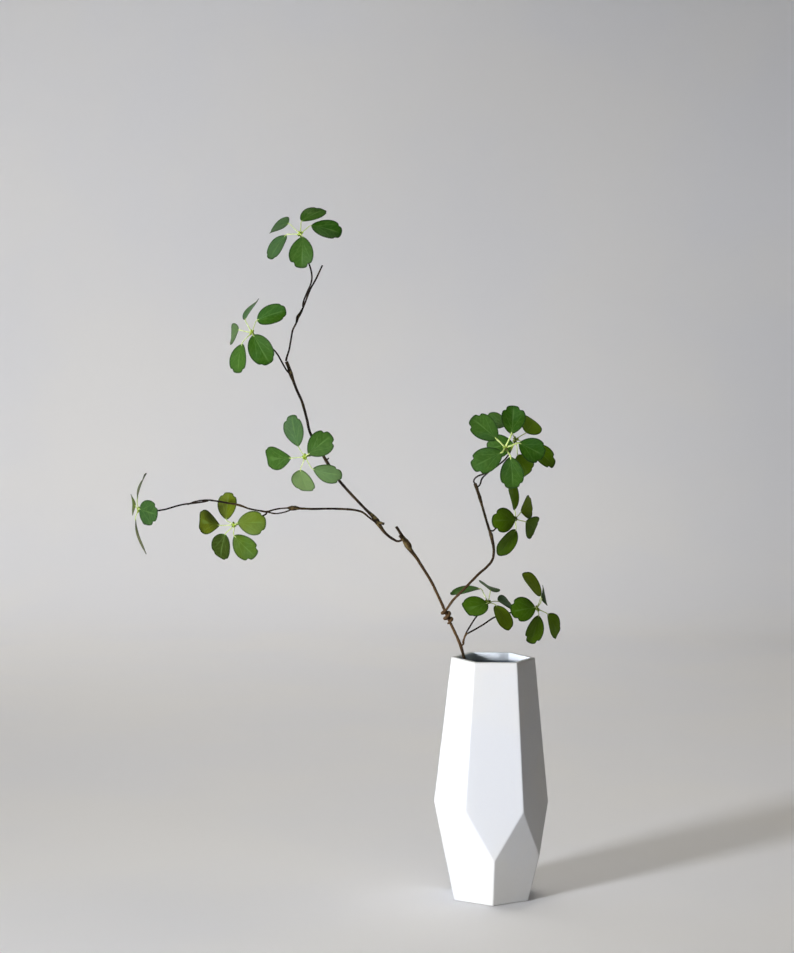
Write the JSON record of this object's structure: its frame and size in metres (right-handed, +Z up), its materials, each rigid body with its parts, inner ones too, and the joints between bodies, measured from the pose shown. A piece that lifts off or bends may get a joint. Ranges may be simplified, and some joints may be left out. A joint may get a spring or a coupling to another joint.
{
  "type": "leafy branch in vase",
  "caption": "Bare woody branch with compound five-part leaves, standing in a tall white faceted ceramic vase.",
  "frame": {"origin": "centre of the vase's flat underside", "axes": "+Z up, out of the vase's mouth; -Y towards the viewer; +X to the viewer's right, so the long shoot reaches towards -X"},
  "size_m": [0.4435, 0.1364, 0.7121],
  "materials": {
    "ceramic": "matt white outside, glazed inside",
    "bark": "rough brown bark",
    "leaf": "smooth green leaf with pale stalks"
  },
  "bodies": {
    "root": {"vase": "ceramic", "lower_stem": "bark", "upper_stem": "bark", "left_shoot": "bark", "top_shoot": "bark", "right_shoot": "bark", "low_twig": "bark", "leaf_1": "leaf", "leaf_2": "leaf", "leaf_3": "leaf", "leaf_4": "leaf", "leaf_5": "leaf", "leaf_6_front": "leaf", "leaf_6_back": "leaf", "leaf_7": "leaf", "leaf_8": "leaf", "leaf_9": "leaf"}
  },
  "joints": []
}
